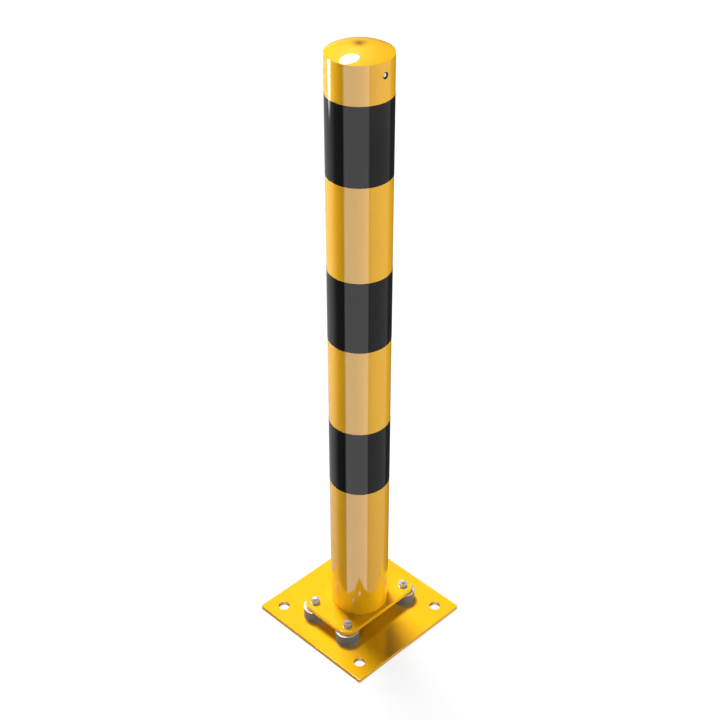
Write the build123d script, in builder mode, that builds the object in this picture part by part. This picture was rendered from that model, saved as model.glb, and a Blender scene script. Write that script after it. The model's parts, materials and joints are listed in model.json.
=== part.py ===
from build123d import *
import os
from math import sqrt

# Bollard whose post stands on four rubber buffers, so that it gives a little when
# it is pushed and then springs upright. All sizes are in millimetres.
# Z = 0 is the underside of the base plate, the post's axis is the Z axis, and X
# runs along the long side of the flange plate under the post.

# Base plate, square, with rounded corners
base_side = 150.0
base_thickness = 4.5
base_corner_radius = 1.0
plate_edge_round = 0.2  # softened edges of both plates

# Holes for the floor anchors, one near each corner of the base plate
anchor_hole_diameter = 12.0
anchor_edge_distance = 17.5  # hole centre to each side of the base plate

# Post tube
tube_diameter = 60.0
tube_wall = 2.5
tube_length = 615.0

# Flange plate under the tube, carried by the buffers
flange_thickness = 4.5
flange_end_ledge = 22.0  # beyond the tube, along X
flange_side_ledge = 4.0  # beyond the tube, along Y
flange_corner_radius = 10.0

# Fillet weld inside the foot of the tube, reached through the flange plate's bore
weld_leg = 3.0
weld_crown = 0.3  # how far its face swells beyond a straight slope
weld_ledge = 2.5  # flange plate left between the weld and the bore

# Rubber buffers, each a rubber cylinder between two threaded steel discs
buffer_diameter = 26.0
buffer_height = 13.0
buffer_end_inset = 10.0  # buffer's axis to the flange plate's end
buffer_side_inset = 10.0  # buffer's axis to the flange plate's long side
disc_thickness = 1.0
disc_edge_round = 0.2
boss_diameter = 9.0
boss_depth = 3.0  # how far a disc's threaded boss reaches into the rubber
rubber_edge_round = 0.3

# Fits, all radial. Threads are drawn as plain cylinders.
drawn_clearance = 0.05  # between round faces that touch on the real thing
screw_clearance = 0.3  # screws in the plates
countersink_clearance = 0.1
spigot_clearance = 0.2  # end cap in the tube
set_screw_clearance = 0.1  # set screw in the tube's hole

# Button-head screws through the flange plate, and their hexagon sockets
screw_diameter = 6.0
screw_tip_chamfer = 0.6
socket_across_flats = 4.0
button_head_diameter = 10.5
button_head_height = 3.3
button_head_rim = 0.4  # straight edge under the button's dome
button_socket_depth = 2.0
button_screw_length = 8.0  # under the head

# Countersunk screws from below the base plate
flush_head_diameter = 12.0
flush_head_rim = 0.2  # straight edge of the head
flush_head_recess = 0.3  # head's face above the floor
flush_socket_depth = 1.6
flush_screw_length = 7.7  # over all

# End cap, a hollow dome with a spigot that fits in the tube
dome_height = 7.5
dome_rim = 0.5  # straight edge under the dome
dome_wall = 3.0
spigot_length = 25.0
spigot_wall = 4.0
spigot_chamfer = 1.0

# Slotted set screw that locks the end cap, below the tube's top on the -Y side
set_screw_drop = 11.5  # tube's top to the screw's axis
set_screw_length = 5.0
set_screw_recess = 1.9  # screw's end below the tube's outer face
set_screw_chamfer = 0.4
slot_width = 1.0
slot_depth = 1.2

# Black film bands round the tube
band_count = 3
band_height = 75.0
band_gap = 95.0
band_top_margin = 35.0  # tube's top to the first band
band_thickness = 0.2

# Levels, from the floor up
rubber_bottom_z = base_thickness + disc_thickness
flange_bottom_z = base_thickness + buffer_height
rubber_top_z = flange_bottom_z - disc_thickness
flange_top_z = flange_bottom_z + flange_thickness
tube_top_z = flange_top_z + tube_length
dome_edge_z = tube_top_z + dome_rim
dome_top_z = dome_edge_z + dome_height
set_screw_z = tube_top_z - set_screw_drop

# Radii and spacings that follow from the sizes above
tube_radius = tube_diameter / 2
tube_bore_radius = tube_radius - tube_wall
screw_radius = screw_diameter / 2
screw_hole_radius = screw_radius + screw_clearance
thread_hole_radius = screw_radius + drawn_clearance
socket_radius = socket_across_flats / 2
spigot_radius = tube_bore_radius - spigot_clearance
spigot_bore_radius = spigot_radius - spigot_wall
flange_length = tube_diameter + 2 * flange_end_ledge
flange_width = tube_diameter + 2 * flange_side_ledge
flange_bore_radius = tube_bore_radius - weld_leg - weld_ledge
buffer_spacing_x = flange_length - 2 * buffer_end_inset
buffer_spacing_y = flange_width - 2 * buffer_side_inset
anchor_spacing = base_side - 2 * anchor_edge_distance

# Places of the buffers, named as seen along +Y
buffer_places = {
    "left_front": (-buffer_spacing_x / 2, -buffer_spacing_y / 2),
    "right_front": (buffer_spacing_x / 2, -buffer_spacing_y / 2),
    "left_rear": (-buffer_spacing_x / 2, buffer_spacing_y / 2),
    "right_rear": (buffer_spacing_x / 2, buffer_spacing_y / 2),
}

os.makedirs("parts", exist_ok=True)

# Base plate: four holes for the floor anchors, and four countersunk from below
# for the screws that hold the buffers
underside = Plane(origin=(0, 0, 0), x_dir=(1, 0, 0), z_dir=(0, 0, -1))
with BuildPart() as base_plate:
    with BuildSketch():
        RectangleRounded(base_side, base_side, base_corner_radius)
        with GridLocations(anchor_spacing, anchor_spacing, 2, 2):
            Circle(anchor_hole_diameter / 2, mode=Mode.SUBTRACT)
    extrude(amount=base_thickness)
    for face in (base_plate.faces().sort_by(Axis.Z)[-1], base_plate.faces().sort_by(Axis.Z)[0]):
        fillet(face.outer_wire().edges(), plate_edge_round)
    with Locations(underside):
        with GridLocations(buffer_spacing_x, buffer_spacing_y, 2, 2):
            CounterSinkHole(
                radius=screw_hole_radius,
                counter_sink_radius=flush_head_diameter / 2
                + flush_head_recess
                + flush_head_rim
                + countersink_clearance,
                depth=base_thickness,
                counter_sink_angle=90,
            )
base_plate.part.label = "base_plate"
export_step(base_plate.part, "parts/base_plate.step")

# Flange plate: a bore inside the tube's foot, and a screw hole over each buffer
with BuildPart() as flange_plate:
    with BuildSketch(Plane.XY.offset(flange_bottom_z)):
        RectangleRounded(flange_length, flange_width, flange_corner_radius)
        Circle(flange_bore_radius, mode=Mode.SUBTRACT)
        with GridLocations(buffer_spacing_x, buffer_spacing_y, 2, 2):
            Circle(screw_hole_radius, mode=Mode.SUBTRACT)
    extrude(amount=flange_thickness)
    for face in (flange_plate.faces().sort_by(Axis.Z)[-1], flange_plate.faces().sort_by(Axis.Z)[0]):
        fillet(face.outer_wire().edges(), plate_edge_round)
flange_plate.part.label = "flange_plate"
export_step(flange_plate.part, "parts/flange_plate.step")

# Post tube, square-cut at both ends, with a hole on its -Y side for the set screw
with BuildPart() as post_tube:
    with BuildSketch(Plane.XY.offset(flange_top_z)):
        Circle(tube_radius)
        Circle(tube_bore_radius, mode=Mode.SUBTRACT)
    extrude(amount=tube_length)
    with BuildSketch(Plane.XZ):
        with Locations((0, set_screw_z)):
            Circle(screw_radius + set_screw_clearance)
    extrude(amount=tube_diameter, mode=Mode.SUBTRACT)
post_tube.part.label = "post_tube"
export_step(post_tube.part, "parts/post_tube.step")

# Weld between the tube and the flange plate, a ring with a swollen sloping face
weld_outer_radius = tube_bore_radius - drawn_clearance
weld_toe = (weld_outer_radius - weld_leg, flange_top_z)
weld_tip = (weld_outer_radius, flange_top_z + weld_leg)
weld_face_middle = (
    weld_outer_radius - weld_leg / 2 - weld_crown,
    flange_top_z + weld_leg / 2 + weld_crown,
)
with BuildPart() as foot_weld:
    with BuildSketch(Plane.XZ):
        with BuildLine():
            ThreePointArc(weld_toe, weld_face_middle, weld_tip)
            Polyline(weld_tip, (weld_outer_radius, flange_top_z), weld_toe)
        make_face()
    revolve(axis=Axis.Z)
foot_weld.part.label = "foot_weld"
export_step(foot_weld.part, "parts/foot_weld.step")

# End cap: its dome is part of a sphere, and the hollow under it follows the dome
dome_radius = (tube_radius**2 + dome_height**2) / (2 * dome_height)
hollow_radius = dome_radius - dome_wall
hollow_top_z = dome_top_z - dome_wall
hollow_edge_z = dome_top_z - dome_radius + sqrt(hollow_radius**2 - spigot_bore_radius**2)
spigot_bottom_z = tube_top_z - spigot_length
with BuildPart() as end_cap:
    with BuildSketch(Plane.XZ):
        with BuildLine():
            TangentArc((0, dome_top_z), (tube_radius, dome_edge_z), tangent=(1, 0))
            Polyline(
                (tube_radius, dome_edge_z),
                (tube_radius, tube_top_z),
                (spigot_radius, tube_top_z),
                (spigot_radius, spigot_bottom_z + spigot_chamfer),
                (spigot_radius - spigot_chamfer, spigot_bottom_z),
                (spigot_bore_radius, spigot_bottom_z),
                (spigot_bore_radius, hollow_edge_z),
            )
            TangentArc((0, hollow_top_z), (spigot_bore_radius, hollow_edge_z), tangent=(1, 0))
            Line((0, hollow_top_z), (0, dome_top_z))
        make_face()
    revolve(axis=Axis.Z)
    with BuildSketch(Plane.XZ):
        with Locations((0, set_screw_z)):
            Circle(thread_hole_radius)
    extrude(amount=tube_diameter, mode=Mode.SUBTRACT)
end_cap.part.label = "end_cap"
export_step(end_cap.part, "parts/end_cap.step")

# Set screw, threaded in the spigot, its slotted end inside the tube's hole
set_screw_end = tube_radius - set_screw_recess
with BuildPart() as set_screw:
    with BuildSketch(Plane.XZ.offset(set_screw_end)):
        with Locations((0, set_screw_z)):
            Circle(screw_radius)
    extrude(amount=-set_screw_length)
    chamfer(set_screw.edges().filter_by(GeomType.CIRCLE), set_screw_chamfer)
    with BuildSketch(Plane.XZ.offset(set_screw_end)):
        with Locations((0, set_screw_z)):
            Rectangle(screw_diameter, slot_width)
    extrude(amount=-slot_depth, mode=Mode.SUBTRACT)
set_screw.part.label = "set_screw"
export_step(set_screw.part, "parts/set_screw.step")

# Film bands, thin sleeves counted from the top of the tube
for number in range(band_count):
    band_top_z = tube_top_z - band_top_margin - number * (band_height + band_gap)
    with BuildPart() as band:
        with BuildSketch(Plane.XY.offset(band_top_z)):
            Circle(tube_radius + drawn_clearance + band_thickness)
            Circle(tube_radius + drawn_clearance, mode=Mode.SUBTRACT)
        extrude(amount=-band_height)
    band.part.label = f"film_band_{number + 1}"
    export_step(band.part, f"parts/film_band_{number + 1}.step")

# Buffers: the rubber is moulded round the threaded boss of each steel disc
for place, (x, y) in buffer_places.items():
    with BuildPart() as rubber:
        with BuildSketch(Plane.XY.offset(rubber_bottom_z)):
            with Locations((x, y)):
                Circle(buffer_diameter / 2)
        extrude(amount=rubber_top_z - rubber_bottom_z)
        fillet(rubber.edges().filter_by(GeomType.CIRCLE), rubber_edge_round)
        for level, depth in ((rubber_bottom_z, boss_depth), (rubber_top_z, -boss_depth)):
            with BuildSketch(Plane.XY.offset(level)):
                with Locations((x, y)):
                    Circle(boss_diameter / 2 + drawn_clearance)
            extrude(amount=depth, mode=Mode.SUBTRACT)
    rubber.part.label = f"rubber_{place}"
    export_step(rubber.part, f"parts/rubber_{place}.step")

    # A disc lies against each plate, and up is +1 where its boss points upwards
    for name, level, up in (("lower_disc", base_thickness, 1), ("upper_disc", flange_bottom_z, -1)):
        with BuildPart() as disc:
            with BuildSketch(Plane.XY.offset(level)):
                with Locations((x, y)):
                    Circle(buffer_diameter / 2)
            extrude(amount=up * disc_thickness)
            fillet(disc.edges().filter_by(GeomType.CIRCLE), disc_edge_round)
            with BuildSketch(Plane.XY.offset(level)):
                with Locations((x, y)):
                    Circle(boss_diameter / 2)
            extrude(amount=up * (disc_thickness + boss_depth))
            with BuildSketch(Plane.XY.offset(level)):
                with Locations((x, y)):
                    Circle(thread_hole_radius)
            extrude(amount=up * (disc_thickness + boss_depth), mode=Mode.SUBTRACT)
        disc.part.label = f"{name}_{place}"
        export_step(disc.part, f"parts/{name}_{place}.step")

# Button-head screws, each through the flange plate into an upper disc
button_top_z = flange_top_z + button_head_height
button_edge_z = flange_top_z + button_head_rim
button_tip_z = flange_top_z - button_screw_length
for place, (x, y) in buffer_places.items():
    profile_plane = Plane(origin=(x, y, 0), x_dir=(1, 0, 0), z_dir=(0, -1, 0))
    with BuildPart() as button_screw:
        with BuildSketch(profile_plane):
            with BuildLine():
                TangentArc(
                    (0, button_top_z), (button_head_diameter / 2, button_edge_z), tangent=(1, 0)
                )
                Polyline(
                    (button_head_diameter / 2, button_edge_z),
                    (button_head_diameter / 2, flange_top_z),
                    (screw_radius, flange_top_z),
                    (screw_radius, button_tip_z + screw_tip_chamfer),
                    (screw_radius - screw_tip_chamfer, button_tip_z),
                    (0, button_tip_z),
                    (0, button_top_z),
                )
            make_face()
        revolve(axis=Axis((x, y, 0), (0, 0, 1)))
        with BuildSketch(Plane.XY.offset(button_top_z)):
            with Locations((x, y)):
                RegularPolygon(socket_radius, side_count=6, major_radius=False)
        extrude(amount=-button_socket_depth, mode=Mode.SUBTRACT)
    button_screw.part.label = f"flange_screw_{place}"
    export_step(button_screw.part, f"parts/flange_screw_{place}.step")

# Countersunk screws, each from below the base plate into a lower disc
flush_cone_bottom_z = flush_head_recess + flush_head_rim
flush_cone_height = flush_head_diameter / 2 - screw_radius
flush_tip_z = flush_head_recess + flush_screw_length
for place, (x, y) in buffer_places.items():
    profile_plane = Plane(origin=(x, y, 0), x_dir=(1, 0, 0), z_dir=(0, -1, 0))
    with BuildPart() as flush_screw:
        with BuildSketch(profile_plane):
            with BuildLine():
                Polyline(
                    (0, flush_head_recess),
                    (flush_head_diameter / 2, flush_head_recess),
                    (flush_head_diameter / 2, flush_cone_bottom_z),
                    (screw_radius, flush_cone_bottom_z + flush_cone_height),
                    (screw_radius, flush_tip_z - screw_tip_chamfer),
                    (screw_radius - screw_tip_chamfer, flush_tip_z),
                    (0, flush_tip_z),
                    close=True,
                )
            make_face()
        revolve(axis=Axis((x, y, 0), (0, 0, 1)))
        with BuildSketch(Plane.XY.offset(flush_head_recess)):
            with Locations((x, y)):
                RegularPolygon(socket_radius, side_count=6, major_radius=False)
        extrude(amount=flush_socket_depth, mode=Mode.SUBTRACT)
    flush_screw.part.label = f"base_screw_{place}"
    export_step(flush_screw.part, f"parts/base_screw_{place}.step")
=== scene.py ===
import bmesh
import bpy
import json
import math
import numpy as np
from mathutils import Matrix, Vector


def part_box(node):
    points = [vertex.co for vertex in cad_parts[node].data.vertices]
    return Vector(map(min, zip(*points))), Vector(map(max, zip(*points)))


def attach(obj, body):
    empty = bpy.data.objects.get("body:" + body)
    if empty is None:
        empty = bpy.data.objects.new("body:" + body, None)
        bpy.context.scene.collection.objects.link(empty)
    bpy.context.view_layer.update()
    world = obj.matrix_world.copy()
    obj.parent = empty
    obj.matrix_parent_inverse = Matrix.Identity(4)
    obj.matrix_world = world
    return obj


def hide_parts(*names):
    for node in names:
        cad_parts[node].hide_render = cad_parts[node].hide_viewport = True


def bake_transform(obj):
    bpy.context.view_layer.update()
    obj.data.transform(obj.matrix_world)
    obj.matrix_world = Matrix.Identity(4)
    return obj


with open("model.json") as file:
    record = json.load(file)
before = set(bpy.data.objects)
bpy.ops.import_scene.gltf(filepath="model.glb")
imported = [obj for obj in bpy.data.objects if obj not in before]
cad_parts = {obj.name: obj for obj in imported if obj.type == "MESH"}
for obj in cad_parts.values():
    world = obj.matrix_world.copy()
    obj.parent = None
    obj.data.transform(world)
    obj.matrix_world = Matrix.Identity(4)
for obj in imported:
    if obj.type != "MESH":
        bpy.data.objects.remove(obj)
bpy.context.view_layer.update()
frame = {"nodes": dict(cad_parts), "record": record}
nodes = frame["nodes"]
mm = 0.001


def reportStage(text):
    print("bollard scene:", text, flush=True)


def addObject(name, data):
    made = bpy.data.objects.new(name, data)
    bpy.context.scene.collection.objects.link(made)
    return made


# camera
cameraSettings = {
    "place": (-765.3 * mm, -765.3 * mm, 1088.9 * mm),
    "lookDown": 35.487,  # degrees below the horizon
    "lookAlong": -45.0,  # degrees about Z, 0 looks along +Y
    "lens": 69.87,
    "sensorWidth": 36.0,
    "shiftX": 0.00067,
    "shiftY": 0.0139,
}


def makeCamera(settings):
    data = bpy.data.cameras.new("studioCamera")
    data.lens = settings["lens"]
    data.sensor_width = settings["sensorWidth"]
    data.shift_x = settings["shiftX"]
    data.shift_y = settings["shiftY"]
    camera = addObject("studioCamera", data)
    camera.location = settings["place"]
    camera.rotation_euler = (
        math.radians(90 - settings["lookDown"]),
        0.0,
        math.radians(settings["lookAlong"]),
    )
    bpy.context.scene.camera = camera


makeCamera(cameraSettings)
bpy.context.scene.view_settings.view_transform = "Standard"
reportStage("camera placed")


# small helpers for node trees
def addNode(tree, kind, links=(), **settings):
    # links: (input name or number, socket or value)
    made = tree.nodes.new(kind)
    for name, value in settings.items():
        setattr(made, name, value)
    for where, what in links:
        if isinstance(what, bpy.types.NodeSocket):
            tree.links.new(what, made.inputs[where])
        else:
            made.inputs[where].default_value = what
    return made


def mathNode(tree, operation, first, second=None, third=None, clamp=False):
    given = [(0, first)]
    if second is not None:
        given.append((1, second))
    if third is not None:
        given.append((2, third))
    return addNode(tree, "ShaderNodeMath", given, operation=operation, use_clamp=clamp).outputs[0]


def smoothStep(tree, value, low, high, outLow=0.0, outHigh=1.0):
    limits = [("From Min", low), ("From Max", high), ("To Min", outLow), ("To Max", outHigh)]
    made = addNode(
        tree, "ShaderNodeMapRange", [("Value", value)] + limits, interpolation_type="SMOOTHSTEP"
    )
    return made.outputs[0]


# studio: directions are degrees, azimuth counted from +X towards +Y; taper is how much half a
# panel's width grows with each degree up, lowSoft the degrees over which its lower edge fades
studioSettings = {
    "ambient": 0.05,  # what the sky gives to every surface
    "dim": 0.045,  # unlit parts of the studio, as reflections show them
    "edge": 1.0,  # degrees over which a hard edge of a panel fades
}
panelSettings = {
    "front": {"azimuth": 214.5, "half": 42.5, "low": -89.0, "high": 8.0, "soft": 8.0, "level": 1.1},
    "leftStrip": {
        "azimuth": 111.0, "half": 5.0, "low": -25.4, "high": -18.0, "soft": 1.0, "level": 5.0,
        "taper": 1.5,
    },
    "left": {"azimuth": 88.0, "half": 40.0, "low": -89.0, "high": 8.0, "soft": 40.0, "level": 0.44},
    "frontTop": {"azimuth": 225.0, "half": 60.0, "low": 12.0, "high": 58.0, "soft": 20.0, "level": 0.05},
    "right": {"azimuth": 300.0, "half": 42.0, "low": -89.0, "high": 8.0, "soft": 12.0, "level": 0.31},
    "rightTop": {
        "azimuth": 292.0, "half": 50.0, "low": -34.0, "high": 8.0, "soft": 12.0, "level": 0.44,
        "lowSoft": 12.0,
    },
}


def panelGlow(tree, azimuth, elevation, panel, edge):
    # distance round the horizon from the panel's middle, wrapped to a half turn
    offset = mathNode(tree, "SUBTRACT", azimuth, math.radians(panel["azimuth"]))
    offset = mathNode(tree, "ABSOLUTE", mathNode(tree, "WRAP", offset, -math.pi, math.pi))
    low = math.radians(panel["low"])
    high = math.radians(panel["high"])
    if "taper" in panel:
        climb = mathNode(tree, "SUBTRACT", elevation, low)
        offset = mathNode(tree, "MULTIPLY_ADD", climb, -panel["taper"], offset)
    half = math.radians(panel["half"])
    soft = math.radians(panel["soft"]) / 2
    inside = smoothStep(tree, offset, half - soft, half + soft, 1.0, 0.0)
    above = smoothStep(tree, elevation, low, low + math.radians(panel.get("lowSoft", edge)))
    below = smoothStep(tree, elevation, high - math.radians(edge), high, 1.0, 0.0)
    inside = mathNode(tree, "MULTIPLY", inside, mathNode(tree, "MULTIPLY", above, below))
    return mathNode(tree, "MULTIPLY", inside, panel["level"])


def whiteSky(tree, strength):
    sky = addNode(tree, "ShaderNodeBackground", [("Color", (1, 1, 1, 1)), ("Strength", strength)])
    return sky.outputs[0]


def makeStudioWorld(settings, panels):
    world = bpy.data.worlds.new("studioWorld")
    bpy.context.scene.world = world
    world.use_nodes = True
    tree = world.node_tree
    tree.nodes.clear()
    direction = addNode(tree, "ShaderNodeTexCoord").outputs["Generated"]
    parts = addNode(tree, "ShaderNodeSeparateXYZ", [(0, direction)])
    azimuth = mathNode(tree, "ARCTAN2", parts.outputs["Y"], parts.outputs["X"])
    elevation = mathNode(tree, "ARCSINE", parts.outputs["Z"])
    shown = settings["dim"]
    for panel in panels.values():
        glow = panelGlow(tree, azimuth, elevation, panel, settings["edge"])
        shown = mathNode(tree, "MAXIMUM", glow, shown)
    # gloss shows the panels, the camera sees white, and every other ray gets the ambient light
    rays = addNode(tree, "ShaderNodeLightPath").outputs
    around = addNode(
        tree,
        "ShaderNodeMixShader",
        [(0, rays["Is Glossy Ray"]), (1, whiteSky(tree, settings["ambient"])), (2, whiteSky(tree, shown))],
    )
    seen = mathNode(tree, "MAXIMUM", rays["Is Camera Ray"], rays["Is Transmission Ray"])
    final = addNode(
        tree, "ShaderNodeMixShader", [(0, seen), (1, around.outputs[0]), (2, whiteSky(tree, 1.0))]
    )
    addNode(tree, "ShaderNodeOutputWorld", [("Surface", final.outputs[0])])


# lamps: level is how bright a white surface that faces the lamp becomes; from is the height on
# the post's axis that the directions are counted from, aim the height that a lamp is turned to
lampSettings = {
    "key": {
        "azimuth": 67.8, "elevation": 63.5, "distance": 4.5, "from": 0.25, "aim": 0.25,
        "width": 1.5, "height": 1.25, "spread": 180.0, "level": 1.6, "inGloss": True,
    },
    "left": {
        "azimuth": 105.0, "elevation": 0.0, "distance": 2.0, "from": 0.25, "aim": 0.7,
        "width": 0.5, "height": 0.44, "spread": 50.0, "level": 2.6, "inGloss": False,
    },
    "right": {
        "azimuth": 311.0, "elevation": 0.0, "distance": 2.0, "from": 0.1, "aim": 0.7,
        "width": 0.8, "height": 0.44, "spread": 90.0, "level": 1.52, "inGloss": False,
    },
    "front": {
        "azimuth": 207.0, "elevation": 18.0, "distance": 5.0, "from": 0.25, "aim": 0.62,
        "width": 1.0, "height": 1.0, "spread": 34.0, "level": 0.59, "inGloss": False,
    },
}


def makeLamp(name, settings):
    azimuth = math.radians(settings["azimuth"])
    elevation = math.radians(settings["elevation"])
    sideways = math.cos(elevation)
    outward = Vector(
        (math.cos(azimuth) * sideways, math.sin(azimuth) * sideways, math.sin(elevation))
    )
    data = bpy.data.lights.new(name, "AREA")
    data.shape = "ELLIPSE"
    data.size = settings["width"]
    data.size_y = settings["height"]
    distance = settings["distance"]
    # a narrow spread gathers the light in the middle, so the power is cut to keep the level
    spread = math.radians(settings["spread"])
    gathered = 1 - spread / 2 / math.tan(spread / 2)
    data.spread = spread
    data.energy = math.pi**2 * distance**2 * settings["level"] * gathered
    lamp = addObject(name, data)
    lamp.location = Vector((0, 0, settings["from"])) + outward * distance
    aim = Vector((0, 0, settings["aim"]))
    lamp.rotation_euler = (lamp.location - aim).to_track_quat("Z", "Y").to_euler()
    lamp.visible_camera = False
    lamp.visible_glossy = settings["inGloss"]


makeStudioWorld(studioSettings, panelSettings)
for name, settings in lampSettings.items():
    makeLamp(name + "Lamp", settings)

# floor: white to the camera, with the soft shadow kept
floorSettings = {
    "half": 20.0,
    "shade": (0.2, 0.2, 0.2, 1),  # of the paper, for every ray but the camera's
    "seenShade": (0.15, 0.15, 0.15, 1),
    "seenGlow": 0.86,  # light of its own that the camera sees near the post
    "farGlow": 1.0,
    "near": 1.0,  # metres from the post at which the glow starts to rise
    "far": 3.0,
}


def makeFloor(settings):
    half = settings["half"]
    mesh = bpy.data.meshes.new("studioFloor")
    corners = [(-half, -half, 0), (half, -half, 0), (half, half, 0), (-half, half, 0)]
    mesh.from_pydata(corners, [], [(0, 1, 2, 3)])
    floor = addObject("studioFloor", mesh)
    floor.visible_glossy = False
    material = bpy.data.materials.new("floorPaper")
    material.use_nodes = True
    tree = material.node_tree
    tree.nodes.clear()
    lit = addNode(tree, "ShaderNodeBsdfDiffuse", [("Color", settings["shade"])])
    seenLit = addNode(tree, "ShaderNodeBsdfDiffuse", [("Color", settings["seenShade"])])
    # the paper fades to white far from the post, where its shadow doesn't reach
    place = addNode(tree, "ShaderNodeTexCoord").outputs["Object"]
    away = addNode(tree, "ShaderNodeVectorMath", [(0, place)], operation="LENGTH").outputs["Value"]
    glowLimits = (settings["seenGlow"], settings["farGlow"])
    fade = smoothStep(tree, away, settings["near"], settings["far"], *glowLimits)
    glow = addNode(tree, "ShaderNodeEmission", [("Strength", fade)])
    seen = addNode(tree, "ShaderNodeAddShader", [(0, seenLit.outputs[0]), (1, glow.outputs[0])])
    cameraRay = addNode(tree, "ShaderNodeLightPath").outputs["Is Camera Ray"]
    mixed = addNode(
        tree, "ShaderNodeMixShader", [(0, cameraRay), (1, lit.outputs[0]), (2, seen.outputs[0])]
    )
    addNode(tree, "ShaderNodeOutputMaterial", [("Surface", mixed.outputs[0])])
    mesh.materials.append(material)


makeFloor(floorSettings)
reportStage("studio lit")

# what the materials share
noiseRange = (0.3, 0.7)  # a noise texture rarely leaves this range
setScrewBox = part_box("set_screw")
setScrewHeight = (setScrewBox[0][2] + setScrewBox[1][2]) / 2


def startMaterial(name):
    material = bpy.data.materials.new(name)
    material.use_nodes = True
    tree = material.node_tree
    tree.nodes.clear()
    shader = addNode(tree, "ShaderNodeBsdfPrincipled")
    addNode(tree, "ShaderNodeOutputMaterial", [("Surface", shader.outputs[0])])
    place = addNode(tree, "ShaderNodeTexCoord").outputs["Object"]
    return material, tree, shader, place


def noise(tree, place, scale, detail=2.0, roughness=0.5):
    made = addNode(
        tree,
        "ShaderNodeTexNoise",
        [("Vector", place), ("Scale", scale), ("Detail", detail), ("Roughness", roughness)],
    )
    return made.outputs["Fac"]


def twoTone(tree, share, settings):
    # from the deep tone at the share deepAt to the light tone at lightAt
    ramp = addNode(tree, "ShaderNodeValToRGB", [("Fac", share)])
    for stop, tone in zip(ramp.color_ramp.elements, ("deep", "light")):
        stop.color = settings[tone]
        stop.position = settings[tone + "At"]
    return ramp.outputs[0]


def mixColor(tree, share, first, plainColor):
    mixed = addNode(tree, "ShaderNodeMix", [("Factor", share)], data_type="RGBA")
    tree.links.new(first, mixed.inputs["A"])
    mixed.inputs["B"].default_value = plainColor
    return mixed.outputs["Result"]


def setRoughness(tree, shader, share, limits):
    rough = smoothStep(tree, share, *noiseRange, *limits)
    tree.links.new(rough, shader.inputs["Roughness"])


def addBump(tree, shader, height, strength, depth, sockets=("Normal",)):
    given = [("Height", height), ("Strength", strength), ("Distance", depth)]
    bump = addNode(tree, "ShaderNodeBump", given)
    for socket in sockets:
        tree.links.new(bump.outputs[0], shader.inputs[socket])


def holeMask(tree, place, settings):
    # 1 near the axis of the set screw on the front half, 0 from the radius outwards
    axis = Vector((0, 0, setScrewHeight))
    shifted = addNode(tree, "ShaderNodeVectorMath", [(0, place), (1, axis)], operation="SUBTRACT")
    parts = addNode(tree, "ShaderNodeSeparateXYZ", [(0, shifted.outputs[0])])
    flat = addNode(tree, "ShaderNodeCombineXYZ", [(0, parts.outputs["X"]), (2, parts.outputs["Z"])])
    away = addNode(tree, "ShaderNodeVectorMath", [(0, flat.outputs[0])], operation="LENGTH")
    radius = settings["radius"]
    near = smoothStep(tree, away.outputs["Value"], radius - settings["soft"], radius, 1.0, 0.0)
    front = mathNode(tree, "LESS_THAN", parts.outputs["Y"], 0.0)
    return mathNode(tree, "MULTIPLY", near, front)


# yellow powder coat: a pigment with a broad yellow gloss under a clear layer
yellowSettings = {
    "deep": (0.93, 0.465, 0.003, 1),
    "deepAt": 0.35,
    "light": (0.95, 0.49, 0.004, 1),
    "lightAt": 0.65,
    "cloudScale": 18.0,
    "roughness": (0.57, 0.63),  # of the pigment
    "roughScale": 90.0,
    "ior": 1.65,
    "glossTint": (1.0, 0.56, 0.005, 1),
    "clearRoughness": 0.055,
    "clearIor": 2.3,
    "peelScale": 420.0,  # orange peel of the clear layer
    "peelStrength": 0.04,
    "peelDepth": 0.02 * mm,
}
# painted shade: dark radial streaks round the dome's pole, standing for shading there
poleShadeSettings = {
    "shade": (0.13, 0.055, 0.002, 1),
    "shortReach": 5.0 * mm,
    "longReach": 12.0 * mm,
    "streaks": 8.0,
    "fade": 0.9,
}
# painted shade: the lip and wall of the set screw's hole darkened, for the shade inside the hole
holeShadeSettings = {
    "shade": (0.05, 0.025, 0.004, 1),
    "radius": 3.15 * mm,
    "soft": 0.1 * mm,
}


def addPoleShade(tree, place, color, mark):
    # painted shade: dark radial streaks round the dome's centre, standing for shading at the pole; their
    # length follows the direction
    parts = addNode(tree, "ShaderNodeSeparateXYZ", [(0, place)])
    flat = addNode(tree, "ShaderNodeCombineXYZ", [(0, parts.outputs["X"]), (1, parts.outputs["Y"])])
    away = addNode(tree, "ShaderNodeVectorMath", [(0, flat.outputs[0])], operation="LENGTH")
    heading = addNode(tree, "ShaderNodeVectorMath", [(0, flat.outputs[0])], operation="NORMALIZE")
    streak = noise(tree, heading.outputs[0], mark["streaks"], detail=4.0, roughness=0.7)
    reach = smoothStep(tree, streak, *noiseRange, mark["shortReach"], mark["longReach"])
    inward = mathNode(tree, "DIVIDE", away.outputs["Value"], reach)
    inward = mathNode(tree, "SUBTRACT", 1.0, inward, clamp=True)
    inward = mathNode(tree, "POWER", inward, mark["fade"])
    return mixColor(tree, inward, color, mark["shade"])


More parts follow.
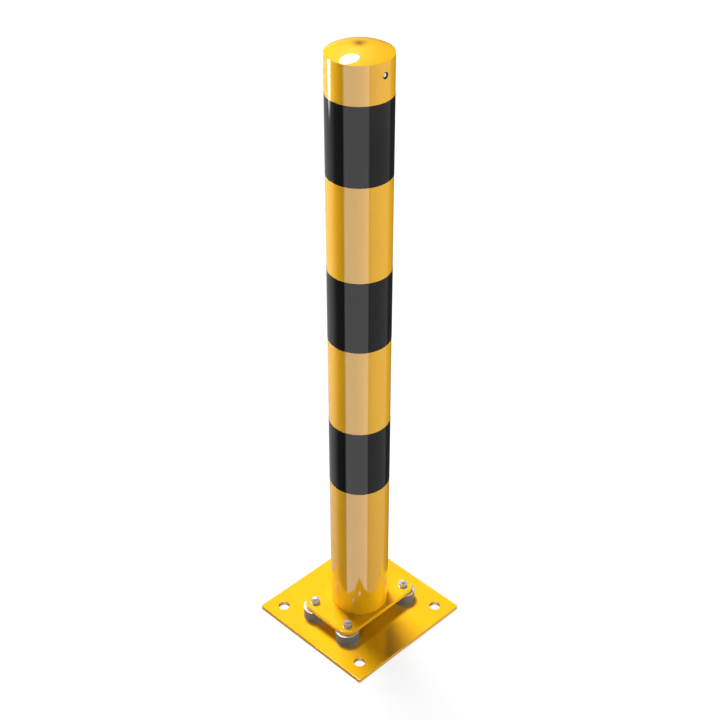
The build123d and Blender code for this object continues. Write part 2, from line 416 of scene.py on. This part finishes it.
def makeYellowCoat(name, settings, mark=None, hole=None):
    material, tree, shader, place = startMaterial(name)
    color = twoTone(tree, noise(tree, place, settings["cloudScale"], detail=3.0), settings)
    if mark is not None:
        # painted shade round the dome's pole
        color = addPoleShade(tree, place, color, mark)
    if hole is not None:
        # the coat ends at the hole's edge, and its bare lip and wall are darkened as painted shade inside
        # the hole
        color = mixColor(tree, holeMask(tree, place, hole), color, hole["shade"])
    tree.links.new(color, shader.inputs["Base Color"])
    setRoughness(tree, shader, noise(tree, place, settings["roughScale"]), settings["roughness"])
    shader.inputs["IOR"].default_value = settings["ior"]
    shader.inputs["Specular Tint"].default_value = settings["glossTint"]
    shader.inputs["Coat Weight"].default_value = 1.0
    shader.inputs["Coat Roughness"].default_value = settings["clearRoughness"]
    shader.inputs["Coat IOR"].default_value = settings["clearIor"]
    peel = noise(tree, place, settings["peelScale"], detail=1.0)
    both = ("Normal", "Coat Normal")
    addBump(tree, shader, peel, settings["peelStrength"], settings["peelDepth"], both)
    return material


# black film: it follows the coat, with a faint slow wave of its own
filmSettings = {
    "deep": (0.007, 0.007, 0.0075, 1),
    "deepAt": 0.0,
    "light": (0.011, 0.011, 0.0115, 1),
    "lightAt": 1.0,
    "cloudScale": 30.0,
    "roughness": (0.04, 0.065),
    "roughScale": 120.0,
    "ior": 1.58,
    "waveScale": 60.0,
    "waveStrength": 0.03,
    "waveDepth": 0.05 * mm,
}


def makeBlackFilm(settings):
    material, tree, shader, place = startMaterial("blackFilm")
    color = twoTone(tree, noise(tree, place, settings["cloudScale"], detail=3.0), settings)
    tree.links.new(color, shader.inputs["Base Color"])
    setRoughness(tree, shader, noise(tree, place, settings["roughScale"]), settings["roughness"])
    shader.inputs["IOR"].default_value = settings["ior"]
    wave = noise(tree, place, settings["waveScale"], detail=1.0)
    addBump(tree, shader, wave, settings["waveStrength"], settings["waveDepth"])
    return material


# rubber: matt, with a fine moulded grain
rubberSettings = {
    "deep": (0.115, 0.13, 0.146, 1),
    "deepAt": 0.3,
    "light": (0.145, 0.165, 0.185, 1),
    "lightAt": 0.7,
    "cloudScale": 70.0,
    "roughness": (0.28, 0.44),
    "ior": 1.5,
    "grainScale": 900.0,
    "grainStrength": 0.25,
    "grainDepth": 0.05 * mm,
}


def makeRubber(settings):
    material, tree, shader, place = startMaterial("buffersRubber")
    color = twoTone(tree, noise(tree, place, settings["cloudScale"], detail=3.0), settings)
    tree.links.new(color, shader.inputs["Base Color"])
    grain = noise(tree, place, settings["grainScale"], detail=4.0, roughness=0.6)
    setRoughness(tree, shader, grain, settings["roughness"])
    shader.inputs["IOR"].default_value = settings["ior"]
    addBump(tree, shader, grain, settings["grainStrength"], settings["grainDepth"])
    return material


# zinc plating: fine crystals and slightly clouded patches, a thin dull layer over the steel
zincSettings = {
    "deep": (0.56, 0.545, 0.52, 1),
    "deepAt": 0.4,
    "light": (0.68, 0.66, 0.62, 1),
    "lightAt": 0.8,
    "crystalScale": 1500.0,
    "crystalShare": 0.35,
    "cloudScale": 160.0,
    "roughness": (0.18, 0.3),
    "metallic": 0.6,
}
nutZincSettings = {
    **zincSettings,
    "deep": (0.47, 0.5, 0.55, 1),
    "light": (0.62, 0.66, 0.72, 1),
}
paleZincSettings = {
    **zincSettings,
    "deep": (0.88, 0.88, 0.86, 1),
    "light": (0.95, 0.95, 0.93, 1),
    "roughness": (0.24, 0.36),
    "metallic": 0.15,
}
# painted shade: the end of the set screw darkened outside this radius, for the hole wall's shadow
screwRimShadeSettings = {
    "shade": (0.03, 0.017, 0.006, 1),
    "radius": 1.8 * mm,
    "soft": 0.2 * mm,
}


def makeZincSteel(name, settings, rim=None):
    material, tree, shader, place = startMaterial(name)
    shader.inputs["Metallic"].default_value = settings["metallic"]
    given = [("Vector", place), ("Scale", settings["crystalScale"])]
    crystals = addNode(tree, "ShaderNodeTexVoronoi", given).outputs["Distance"]
    cloud = noise(tree, place, settings["cloudScale"], detail=4.0)
    blend = mathNode(tree, "MULTIPLY_ADD", crystals, settings["crystalShare"], cloud)
    color = twoTone(tree, blend, settings)
    if rim is not None:
        # painted shade darkens the end of the screw outside this radius, for the shadow of the hole's wall
        # on it
        outside = mathNode(tree, "SUBTRACT", 1.0, holeMask(tree, place, rim))
        color = mixColor(tree, outside, color, rim["shade"])
    tree.links.new(color, shader.inputs["Base Color"])
    setRoughness(tree, shader, cloud, settings["roughness"])
    return material


yellowCoat = makeYellowCoat("yellowCoat", yellowSettings)
yellowTube = makeYellowCoat("yellowTube", yellowSettings, hole=holeShadeSettings)
yellowCap = makeYellowCoat("yellowCap", yellowSettings, mark=poleShadeSettings)
blackFilm = makeBlackFilm(filmSettings)
rubber = makeRubber(rubberSettings)
zincSteel = makeZincSteel("zincSteel", zincSettings)
nutZinc = makeZincSteel("nutZinc", nutZincSettings)
paleZinc = makeZincSteel("paleZinc", paleZincSettings, rim=screwRimShadeSettings)
slotMaterials = {
    "yellow_coat": yellowCoat,
    "black_film": blackFilm,
    "rubber": rubber,
    "zinc_steel": zincSteel,
}
for part in frame["record"]["subparts"]:
    mesh = nodes[part["node"]].data
    mesh.materials.clear()
    mesh.materials.append(slotMaterials[part["material_slot"]])
reportStage("materials made")

# pieces: each is a set of sheets, and a sheet is a grid of points, rows by columns
mergeDistance = 0.002  # millimetres, like every size of a piece


def buildPiece(name, sheets, material, sharpAngle=30.0):
    points = np.concatenate([sheet.reshape(-1, 3) for sheet in sheets])
    faces = []
    first = 0
    for sheet in sheets:
        rows, columns = sheet.shape[:2]
        number = first + np.arange(rows * columns).reshape(rows, columns)
        quads = np.stack([number[:-1, :-1], number[:-1, 1:], number[1:, 1:], number[1:, :-1]], axis=-1)
        faces.append(quads.reshape(-1, 4))
        first += rows * columns
    mesh = bpy.data.meshes.new(name)
    mesh.from_pydata((points * mm).tolist(), [], np.concatenate(faces).tolist())
    work = bmesh.new()
    work.from_mesh(mesh)
    bmesh.ops.remove_doubles(work, verts=work.verts, dist=mergeDistance * mm)
    bmesh.ops.recalc_face_normals(work, faces=work.faces)
    work.to_mesh(mesh)
    work.free()
    mesh.shade_smooth()
    mesh.set_sharp_from_angle(angle=math.radians(sharpAngle))
    mesh.materials.append(material)
    piece = addObject(name, mesh)
    return piece


def boxOf(node):
    return np.array(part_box(node)) / mm


def fullTurn(steps):
    return np.linspace(0, 2 * np.pi, steps + 1)


def arc(centre, radius, start, end, count):
    # points of a circle's arc in the profile plane, angles in degrees
    angles = np.radians(np.linspace(start, end, count))
    return np.stack([centre[0] + radius * np.cos(angles), centre[1] + radius * np.sin(angles)], axis=1)


def carryRound(radius, height, angles, centre=(0.0, 0.0)):
    # x is the centre plus radius times cosine, y the centre plus radius times sine, z the height
    x = centre[0] + radius * np.cos(angles)
    y = centre[1] + radius * np.sin(angles)
    return np.stack(np.broadcast_arrays(x, y, height), axis=-1)


def turn(profile, steps, centre=(0.0, 0.0)):
    # each profile point (radius, height) carried round a vertical axis
    return carryRound(profile[:, 0:1], profile[:, 1:2], fullTurn(steps), centre)


# sizes that several pieces share, from the CAD boxes
tubeBox = boxOf("post_tube")
capBox = boxOf("end_cap")
tubeRadius = tubeBox[1][0]
tubeFoot = tubeBox[0][2]
tubeTop = tubeBox[1][2]
holeHeight = setScrewHeight / mm

# post tube, with a hole for the set screw on its -Y side
tubeSettings = {
    "steps": 192,
    "bore": 27.5,
    "holeRadius": 2.9,
    "holeRound": 0.1,
    "lipPoints": 6,
    "patchCells": 16,  # cells of the square patch round the hole
    "outerRings": 10,
    "innerRings": 4,
    "ringCrowding": 1.5,  # above 1 draws the patch's rings together near the hole
    "coatPool": 0.45,  # coat gathered in the corner over the flange plate
    "poolPoints": 7,
    "holdingRow": 0.05,  # a close second row keeps the shading of the long wall straight
    "lowRows": 25,  # rows of points below the patch
    "topRows": 4,
}
patchHalf = np.pi * tubeSettings["patchCells"] / tubeSettings["steps"]  # half its width, as an angle
patchLow = holeHeight - patchHalf * tubeRadius
patchHigh = holeHeight + patchHalf * tubeRadius


def holePatch(radius, holeRadius, rings, settings):
    # rings that go from the round hole to the rectangular edge of the patch: each is a share
    # between the two outlines, and y is minus the root of radius squared less x squared
    cells = settings["patchCells"]
    run = np.linspace(-1, 1, cells + 1)
    one = np.ones(cells)
    across = np.concatenate([run[:-1], one, -run[:-1], -one, run[:1]])
    up = np.concatenate([-one, run[:-1], one, -run[:-1], -one[:1]])
    edge = np.stack([radius * np.sin(across * patchHalf), up * patchHalf * tubeRadius], axis=1)
    direction = np.arctan2(edge[:, 1], edge[:, 0])
    hole = np.stack([holeRadius * np.cos(direction), holeRadius * np.sin(direction)], axis=1)
    share = (np.linspace(0, 1, rings + 1) ** settings["ringCrowding"])[:, None, None]
    flat = (1 - share) * hole + share * edge
    x = flat[..., 0]
    sheet = np.stack([x, -np.sqrt(radius**2 - x**2), holeHeight + flat[..., 1]], axis=-1)
    return sheet, direction


def makeTube(settings):
    steps = settings["steps"]
    bore = settings["bore"]
    cells = settings["patchCells"]
    around = fullTurn(steps) - np.pi / 2
    beside = np.linspace(patchHalf, 2 * np.pi - patchHalf, steps - cells + 1) - np.pi / 2
    pool = settings["coatPool"]
    sheets = []
    for radius, start in ((tubeRadius, tubeFoot + pool), (bore, tubeFoot)):
        # plain walls below, beside and above the patch: each height carried round the axis
        lowRows = np.linspace(start, patchLow, settings["lowRows"])
        lowRows = np.insert(lowRows, 1, start + settings["holdingRow"])
        sideRows = np.linspace(patchLow, patchHigh, cells + 1)
        topRows = np.linspace(patchHigh, tubeTop, settings["topRows"])
        for heights, angles in ((lowRows, around), (sideRows, beside), (topRows, around)):
            sheets.append(carryRound(radius, heights[:, None], angles))
    rounding = settings["holeRound"]
    holeRadius = settings["holeRadius"]
    outer, direction = holePatch(tubeRadius, holeRadius + rounding, settings["outerRings"], settings)
    inner, direction = holePatch(bore, holeRadius, settings["innerRings"], settings)
    # hole wall: a rounded lip, then straight in to the bore
    lip = arc((holeRadius + rounding, rounding), rounding, 270, 180, settings["lipPoints"])
    radii = np.concatenate([lip[:, 0], [holeRadius]])[:, None]
    x = radii * np.cos(direction)
    z = holeHeight + radii * np.sin(direction)
    y = -np.sqrt(tubeRadius**2 - x**2) + np.concatenate([lip[:, 1], [0]])[:, None]
    y[-1] = -np.sqrt(bore**2 - x[-1] ** 2)
    sheets += [outer, inner, np.stack([x, y, z], axis=-1)]
    foot = arc((tubeRadius + pool, tubeFoot + pool), pool, 180, 270, settings["poolPoints"])
    sheets.append(turn(np.concatenate([foot, [[bore, tubeFoot]]]), steps))
    sheets.append(turn(np.array([[tubeRadius, tubeTop], [bore, tubeTop]]), steps))
    return buildPiece("postTube", sheets, yellowTube)


postTube = makeTube(tubeSettings)
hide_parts("post_tube")
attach(postTube, "post")

# end cap: a spherical dome with a small spun dip in its middle, streaked with painted shade, and its
# spigot
capSettings = {
    "steps": 192,
    "domeHeight": 7.5,
    "fineReach": 8.0,  # radius of the finer middle of the dome
    "fineRows": 33,
    "coarseRows": 45,
    "markRadius": 3.0,
    "markDepth": 0.15,
    "flutes": 26,
    "fluteDepth": 0.03,
    "spigotRadius": 27.3,
    "spigotBore": 23.3,
    "spigotChamfer": 1.0,
    "wall": 3.0,
    "underRows": 24,
}


def makeCap(settings):
    steps = settings["steps"]
    domeHeight = settings["domeHeight"]
    top = capBox[1][2]
    foot = capBox[0][2]
    # dome: top less sphere radius plus the root of sphere radius squared less reach squared
    sphere = (tubeRadius**2 + domeHeight**2) / (2 * domeHeight)
    fine = np.linspace(0, settings["fineReach"], settings["fineRows"])
    coarse = np.linspace(settings["fineReach"], tubeRadius, settings["coarseRows"])
    reach = np.concatenate([fine, coarse[1:]])
    dome = np.stack([reach, top - sphere + np.sqrt(sphere**2 - reach**2)], axis=1)
    spigot = settings["spigotRadius"]
    bore = settings["spigotBore"]
    bevel = settings["spigotChamfer"]
    hollow = sphere - settings["wall"]
    within = np.linspace(bore, 0, settings["underRows"])
    under = np.stack([within, top - sphere + np.sqrt(hollow**2 - within**2)], axis=1)
    corners = [
        [tubeRadius, tubeTop],
        [spigot, tubeTop],
        [spigot, foot + bevel],
        [spigot - bevel, foot],
        [bore, foot],
    ]
    profile = np.concatenate([dome, corners, under])
    sheet = turn(profile, steps)
    # spun mark: a shallow dip whose slope is fluted, depth times exp of minus (r / radius) squared
    share = profile[: len(dome), 0:1] / settings["markRadius"]
    flutes = 1 + settings["fluteDepth"] * share * np.cos(settings["flutes"] * fullTurn(steps))
    sheet[: len(dome), :, 2] -= settings["markDepth"] * np.exp(-(share**2)) * flutes
    return buildPiece("endCap", [sheet], yellowCap)


endCap = makeCap(capSettings)
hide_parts("end_cap")
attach(endCap, "post")
reportStage("tube and cap made")

# set screw, sunk in the tube's hole, with a hexagon socket in its end
setScrewSettings = {
    "steps": 72,
    "radius": 2.8,
    "recess": 1.1,
    "bevel": 0.3,
    "socket": 1.5,  # over the flats
    "socketDepth": 1.4,
    "socketCone": 0.3,
}


def hexagonReach(angles, across):
    # distance from the middle of a hexagon to its flats: half the width over the cosine of the
    # angle from the nearest flat's middle
    folded = np.mod(angles + np.pi / 6, np.pi / 3) - np.pi / 6
    return across / 2 / np.cos(folded)


def makeSetScrew(settings):
    angles = fullTurn(settings["steps"])
    inner = -setScrewBox[1][1] / mm
    end = tubeRadius - settings["recess"]
    radius = settings["radius"]
    bevel = settings["bevel"]
    socket = hexagonReach(angles, settings["socket"])
    floor = end - settings["socketDepth"]
    still = 0 * angles
    # rows of radius and distance from the post's axis, from the inner end to the socket's floor:
    # x is radius times cosine, y minus the distance, z the hole's height plus radius times sine
    rows = [
        (still, inner),
        (still + radius, inner),
        (still + radius, end - bevel),
        (still + radius - bevel, end),
        (socket, end),
        (socket, floor),
        (still, floor - settings["socketCone"]),
    ]
    sheet = [
        np.stack([reach * np.cos(angles), still - away, holeHeight + reach * np.sin(angles)], axis=-1)
        for reach, away in rows
    ]
    piece = buildPiece("setScrew", [np.array(sheet)], paleZinc)
    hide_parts("set_screw")
    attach(piece, "post")


makeSetScrew(setScrewSettings)

# film bands: thin sleeves whose ends overlap at the back
bandSettings = {
    "steps": 240,
    "count": 3,
    "gap": 0.05,  # between the tube and the film
    "film": 0.1,
    "edgeRound": 0.05,
    "edgePoints": 4,
    "overlapMiddle": 45.0,  # degrees from +X towards +Y
    "overlapHalf": 6.0,
    "overlapRamp": 0.8,
}


def makeBand(name, settings):
    # a closed profile carried round the axis; its outer radius grows by one film over the
    # overlap, and on each side of the overlap that growth falls evenly to nothing
    box = boxOf(name)
    low = box[0][2]
    high = box[1][2]
    inside = tubeRadius + settings["gap"]
    side = inside + settings["film"]
    rounding = settings["edgeRound"]
    edge = side - rounding
    count = settings["edgePoints"]
    profile = np.concatenate(
        [
            [[inside, low]],
            arc((edge, low + rounding), rounding, 270, 360, count),
            # rows close to each round keep the shading of the long side straight
            [[side, low + 2 * rounding], [side, high - 2 * rounding]],
            arc((edge, high - rounding), rounding, 0, 90, count),
            [[inside, high], [inside, low]],
        ]
    )
    sheet = turn(profile, settings["steps"])
    away = np.abs(np.degrees(fullTurn(settings["steps"])) - settings["overlapMiddle"])
    ramp = settings["overlapRamp"]
    lift = np.clip((settings["overlapHalf"] + ramp - away) / ramp, 0, 1)
    outer = slice(1, len(profile) - 2)
    sheet[outer, :, :2] *= (1 + lift * settings["film"] / side)[:, None]
    piece = buildPiece("filmBand" + name[-1], [sheet], blackFilm)
    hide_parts(name)
    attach(piece, "post")


for number in range(bandSettings["count"]):
    makeBand(f"film_band_{number + 1}", bandSettings)

# nuts and washers on the studs' ends, over the flange plate
nutSettings = {
    "steps": 96,
    "washer": 5.0,
    "washerHeight": 1.0,
    "washerRound": 0.12,
    "edgePoints": 4,
    "across": 8.0,  # over the flats
    "height": 4.0,
    "bevel": 30.0,  # degrees of the turned bevel at both ends
    "bevelStart": 3.75,  # radius at which the bevel begins
    "bevelRows": 5,
    "cornerRound": 0.12,
    "boreBevel": 2.8,
    "boreBevelHeight": 0.4,
    "turned": 12.0,  # degrees from +X to the middle of the first nut's flat
    "turnedStep": 17.0,
    "stud": 2.5,
    "studReach": 6.3,  # stud's end over the flange plate
    "threadDepth": 0.4,
    "threadPitch": 0.8,
    "threadRows": 8,  # rows of points in each pitch
    "tipBevel": 0.5,
}
buffersAt = {
    "left_front": "LeftFront",
    "right_front": "RightFront",
    "left_rear": "LeftRear",
    "right_rear": "RightRear",
}


def makeWasher(centre, seat, settings):
    # two flat faces and a straight side, joined by quarter circles and carried round the stud
    rounding = settings["washerRound"]
    edge = settings["washer"] - rounding
    top = seat + settings["washerHeight"]
    count = settings["edgePoints"]
    profile = np.concatenate(
        [
            [[settings["stud"], seat]],
            arc((edge, seat + rounding), rounding, 270, 360, count),
            arc((edge, top - rounding), rounding, 0, 90, count),
            [[settings["stud"], top]],
        ]
    )
    return turn(profile, settings["steps"], centre)


def makeNut(centre, seat, settings, turned):
    # the side is the smaller of the hexagon and a circle, which rounds its corners; the turned
    # bevel rises by its slope times the radius past its start, so it dips over the corners
    angles = fullTurn(settings["steps"])
    corner = settings["across"] / 2 / np.cos(np.pi / 6) - settings["cornerRound"]
    hexagon = np.minimum(hexagonReach(angles - np.radians(turned), settings["across"]), corner)
    slope = math.tan(math.radians(settings["bevel"]))
    start = settings["bevelStart"]
    bore = settings["stud"] - settings["threadDepth"]
    ends = [(bore, settings["boreBevelHeight"]), (settings["boreBevel"], 0.0), (start, 0.0)]
    lower = [(radius + 0 * angles, seat + rise + 0 * angles) for radius, rise in ends]
    for share in np.linspace(0, 1, settings["bevelRows"])[1:]:
        radius = start + (hexagon - start) * share
        lower.append((radius, seat + (radius - start) * slope))
    upper = [(radius, 2 * seat + settings["height"] - height) for radius, height in lower[::-1]]
    return np.array([carryRound(radius, height, angles, centre) for radius, height in lower + upper])


def makeStud(centre, foot, end, settings):
    # the radius falls by a triangle wave that climbs one pitch a turn
    angles = fullTurn(settings["steps"])
    bevel = settings["tipBevel"]
    pitch = settings["threadPitch"]
    count = int(round((end - foot - 2 * bevel) / pitch * settings["threadRows"]))
    height = np.linspace(foot + bevel, end - bevel, count)[:, None] + 0 * angles
    turns = (height / pitch - angles / (2 * np.pi)) % 1.0
    radius = settings["stud"] - settings["threadDepth"] * (1 - np.abs(2 * turns - 1))
    flat = np.array([0, settings["stud"] - bevel])[:, None] + 0 * angles
    radius = np.concatenate([flat, radius, flat[::-1]])
    height = np.concatenate([np.full_like(flat, foot), height, np.full_like(flat, end)])
    return carryRound(radius, height, angles, centre)


def makeNutAndStud(place, label, turned, settings):
    box = boxOf("flange_screw_" + place)
    centre = (box[0] + box[1])[:2] / 2
    seat = boxOf("flange_plate")[1][2]
    sheets = [
        makeWasher(centre, seat, settings),
        makeNut(centre, seat + settings["washerHeight"], settings, turned),
        makeStud(centre, box[0][2], seat + settings["studReach"], settings),
    ]
    piece = buildPiece("nutAndStud" + label, sheets, nutZinc, sharpAngle=25.0)
    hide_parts("flange_screw_" + place)
    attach(piece, "post")


for number, (place, label) in enumerate(buffersAt.items()):
    turned = nutSettings["turned"] + nutSettings["turnedStep"] * number
    makeNutAndStud(place, label, turned, nutSettings)
reportStage("bands and nuts made")

# rubber of the buffers, in two halves
rubberShape = {
    "steps": 96,
    "rows": 22,
    "waist": 0.18,  # how far the side draws in between the discs
    "partingHeight": 0.12,  # ridge left by the mould, half way up
    "partingHalf": 0.3,
    "skin": 0.04,  # rubber over the side of a disc
    "skinReach": 0.8,
}


def makeRubberHalf(place, label, lower, settings):
    # side: full radius, less waist times (1 less the fourth power of distance from the middle
    # over half height), plus ridge height times the square of (1 less distance over ridge half)
    box = boxOf("rubber_" + place)
    centre = (box[0] + box[1]) / 2
    full = (box[1][0] - box[0][0]) / 2
    middle = centre[2]
    end = box[0][2] if lower else box[1][2]
    # height runs from the disc to the middle plane, finer near both ends
    share = (1 - np.cos(np.linspace(0, np.pi, settings["rows"]))) / 2
    height = end + (middle - end) * share
    off = np.abs(height - middle)
    half = abs(end - middle)
    ridge = settings["partingHeight"] * np.clip(1 - off / settings["partingHalf"], 0, 1) ** 2
    side = full - settings["waist"] * (1 - (off / half) ** 4) + ridge
    skinEnd = end - settings["skinReach"] if lower else end + settings["skinReach"]
    inside = full - settings["skin"]
    outside = full + settings["skin"]
    over = [[inside, skinEnd], [outside, skinEnd], [outside, end]]
    profile = np.concatenate([over, np.stack([side, height], axis=1)[1:], [[0, middle]]])
    closing = np.array([[inside, skinEnd], [inside, end], [0, end]])
    sheets = [turn(rows, settings["steps"], centre[:2]) for rows in (profile, closing)]
    name = "rubber" + label + ("Lower" if lower else "Upper")
    piece = buildPiece(name, sheets, rubber, sharpAngle=60.0)
    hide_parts("rubber_" + place)
    if lower:
        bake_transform(piece)
    else:
        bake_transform(piece)


for place, label in buffersAt.items():
    for lower in (True, False):
        makeRubberHalf(place, label, lower, rubberShape)
reportStage("rubber made")

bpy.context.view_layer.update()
reportStage("pieces finished")
